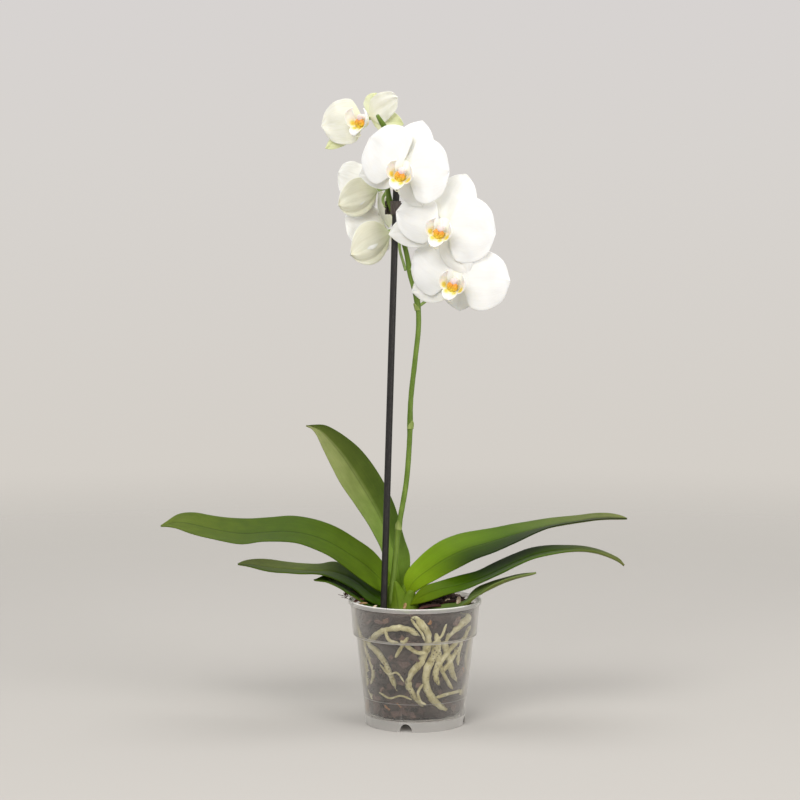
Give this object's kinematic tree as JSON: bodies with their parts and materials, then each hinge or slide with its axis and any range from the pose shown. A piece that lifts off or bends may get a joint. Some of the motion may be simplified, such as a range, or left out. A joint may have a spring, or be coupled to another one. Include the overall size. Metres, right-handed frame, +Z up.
{
  "type": "potted orchid",
  "caption": "Moth orchid with white flowers on an arching spike tied to a dark stake, broad strap leaves, in a clear tapered plastic pot that shows the roots.",
  "frame": {"origin": "middle of the object's bounding box, on the surface that the pot stands on", "axes": "+Z up; -Y towards the viewer that the flowers face; +X to that viewer's right, along the spread of the leaves"},
  "size_m": [0.421, 0.12, 0.5679],
  "materials": {
    "clear_plastic": "gloss",
    "potting_mix": "matte",
    "root": "satin",
    "leaf": "gloss",
    "upright_leaf": "satin",
    "spike": "satin",
    "stake": "satin",
    "clip": "satin",
    "petal": "satin",
    "sepal": "satin",
    "lip": "satin",
    "column": "satin"
  },
  "bodies": {
    "root": {"pot": "clear_plastic", "stem_and_roots": "root", "potting_mix": "potting_mix", "stake": "stake", "spike_clip": "clip", "flower_spike": "spike", "leaf_left_upper": "leaf", "leaf_left_middle": "leaf", "leaf_left_lower": "leaf", "leaf_upright": "upright_leaf", "leaf_right_upper": "leaf", "leaf_right_middle": "leaf", "leaf_right_lower": "leaf", "top_sepal_dorsal": "sepal", "top_sepal_left": "sepal", "top_sepal_right": "sepal", "top_petal_left": "petal", "top_petal_right": "petal", "top_lip": "lip", "top_column": "column", "front_upper_sepal_dorsal": "sepal", "front_upper_sepal_left": "sepal", "front_upper_sepal_right": "sepal", "front_upper_petal_left": "petal", "front_upper_petal_right": "petal", "front_upper_lip": "lip", "front_upper_column": "column", "front_middle_sepal_dorsal": "sepal", "front_middle_sepal_left": "sepal", "front_middle_sepal_right": "sepal", "front_middle_petal_left": "petal", "front_middle_petal_right": "petal", "front_middle_lip": "lip", "front_middle_column": "column", "front_lower_sepal_dorsal": "sepal", "front_lower_sepal_left": "sepal", "front_lower_sepal_right": "sepal", "front_lower_petal_left": "petal", "front_lower_petal_right": "petal", "front_lower_lip": "lip", "front_lower_column": "column", "back_upper_sepal_dorsal": "sepal", "back_upper_sepal_left": "sepal", "back_upper_sepal_right": "sepal", "back_upper_petal_left": "petal", "back_upper_petal_right": "petal", "back_upper_lip": "lip", "back_upper_column": "column", "back_lower_sepal_dorsal": "sepal", "back_lower_sepal_left": "sepal", "back_lower_sepal_right": "sepal", "back_lower_petal_left": "petal", "back_lower_petal_right": "petal", "back_lower_lip": "lip", "back_lower_column": "column"}
  },
  "joints": []
}
